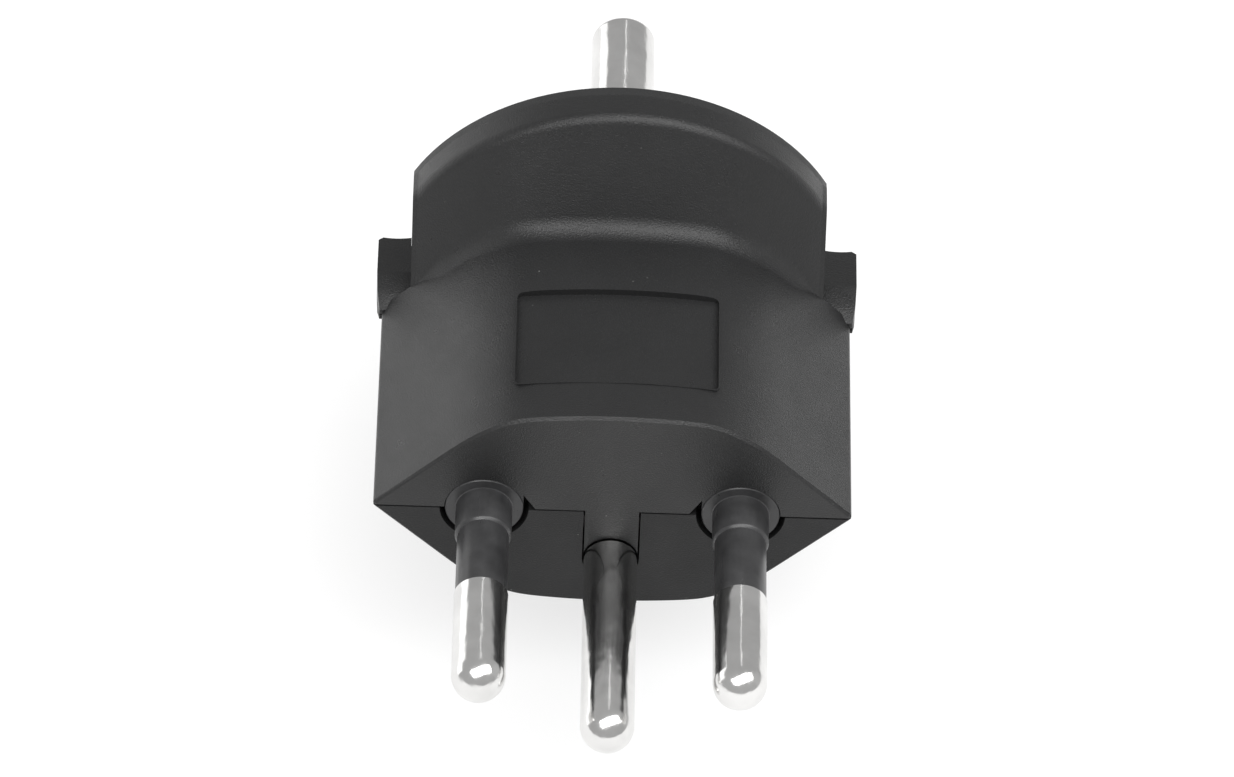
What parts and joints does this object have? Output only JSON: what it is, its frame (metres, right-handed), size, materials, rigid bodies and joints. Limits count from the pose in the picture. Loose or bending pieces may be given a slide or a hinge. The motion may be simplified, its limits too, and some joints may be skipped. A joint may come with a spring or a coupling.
{
  "type": "plug adapter",
  "caption": "Earthed plug adapter: round pins on a narrow lens-shaped body, with a flat round socket face and a male earth pin on top.",
  "frame": {"origin": "middle of the plug face, on the line through the line and neutral pins", "axes": "+X from the line pin to the neutral pin, +Y from the plug face to the socket face, +Z to the side with the label recess"},
  "size_m": [0.0364, 0.06, 0.0358],
  "materials": {
    "housing_plastic": "fine satin grain, black",
    "plate_plastic": "fine satin grain, black",
    "sleeve_plastic": "smooth, black",
    "pin_metal": "nickel-plated, polished",
    "contact_metal": "plain turned brass",
    "spring_metal": "spring steel",
    "screw_metal": "zinc-plated"
  },
  "bodies": {
    "root": {"label_shell": "housing_plastic", "back_shell": "housing_plastic", "socket_plate": "plate_plastic", "housing_screws": "screw_metal", "line_pin": "pin_metal", "line_pin_sleeve": "sleeve_plastic", "line_contact": "contact_metal", "line_contact_spring": "spring_metal", "neutral_pin": "pin_metal", "neutral_pin_sleeve": "sleeve_plastic", "neutral_contact": "contact_metal", "neutral_contact_spring": "spring_metal", "plug_earth_pin": "pin_metal", "socket_earth_pin": "pin_metal", "earth_strap": "contact_metal"}
  },
  "joints": []
}
